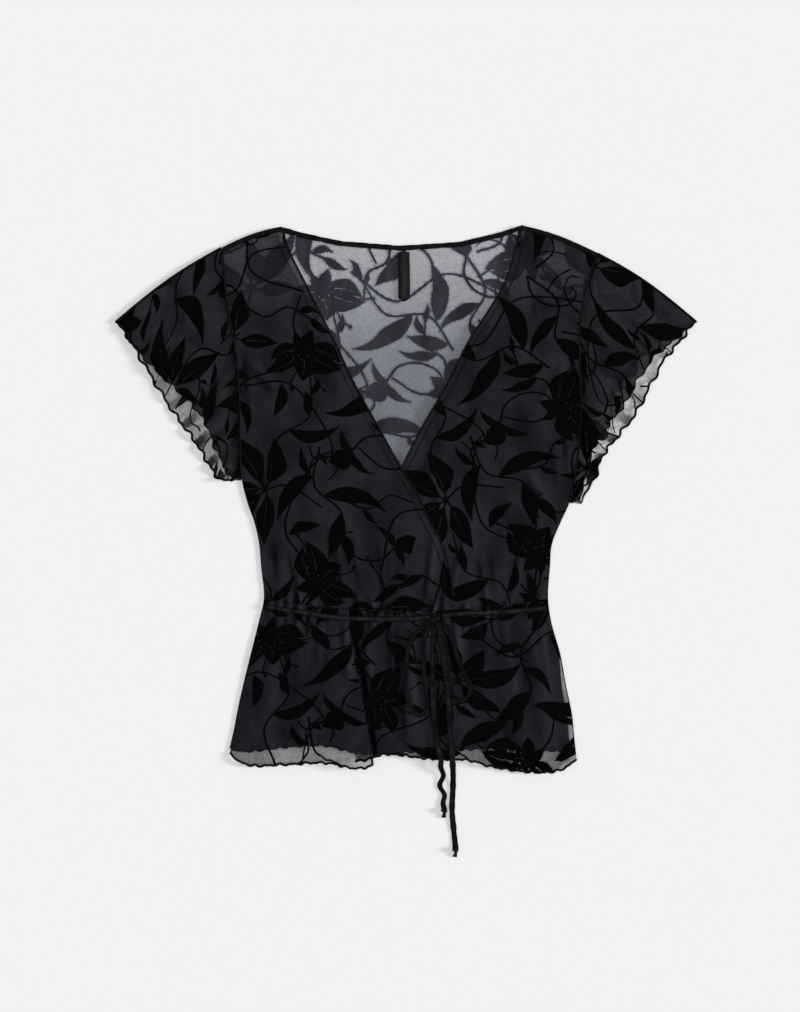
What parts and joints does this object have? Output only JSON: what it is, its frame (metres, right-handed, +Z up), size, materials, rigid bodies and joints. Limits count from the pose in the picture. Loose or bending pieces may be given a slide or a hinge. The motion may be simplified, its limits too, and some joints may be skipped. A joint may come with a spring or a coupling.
{
  "type": "wrap top",
  "caption": "Short-sleeved wrap top in stretch mesh with a gathered peplum and a waist tie, laid flat on its back.",
  "frame": {"origin": "middle of the garment's outline without its tie ends, on the surface that it lies on", "axes": "+X towards the wearer's left sleeve, +Y from the hem to the neck, +Z up from the surface, out of the garment's front"},
  "size_m": [0.6098, 0.6616, 0.0109],
  "materials": {
    "mesh_cloth": "sheer black stretch mesh with burnt-out black velvet leaves and flowers",
    "tie_cloth": "narrow folded strip of the same mesh, dark and slightly sheer",
    "label_satin": "plain black satin woven tape"
  },
  "bodies": {
    "root": {"back_bodice": "mesh_cloth", "back_peplum": "mesh_cloth", "front_bodice_left": "mesh_cloth", "front_bodice_right": "mesh_cloth", "front_peplum": "mesh_cloth", "sleeve_right": "mesh_cloth", "sleeve_left": "mesh_cloth", "back_neck_binding": "tie_cloth", "neck_label": "label_satin", "waist_tie_right": "tie_cloth", "waist_tie_left": "tie_cloth", "bow_knot": "tie_cloth", "bow_loop_right": "tie_cloth", "bow_loop_left": "tie_cloth", "tie_tail_short": "tie_cloth", "tie_tail_long": "tie_cloth", "tail_knot_short": "tie_cloth", "tail_knot_long": "tie_cloth"}
  },
  "joints": []
}
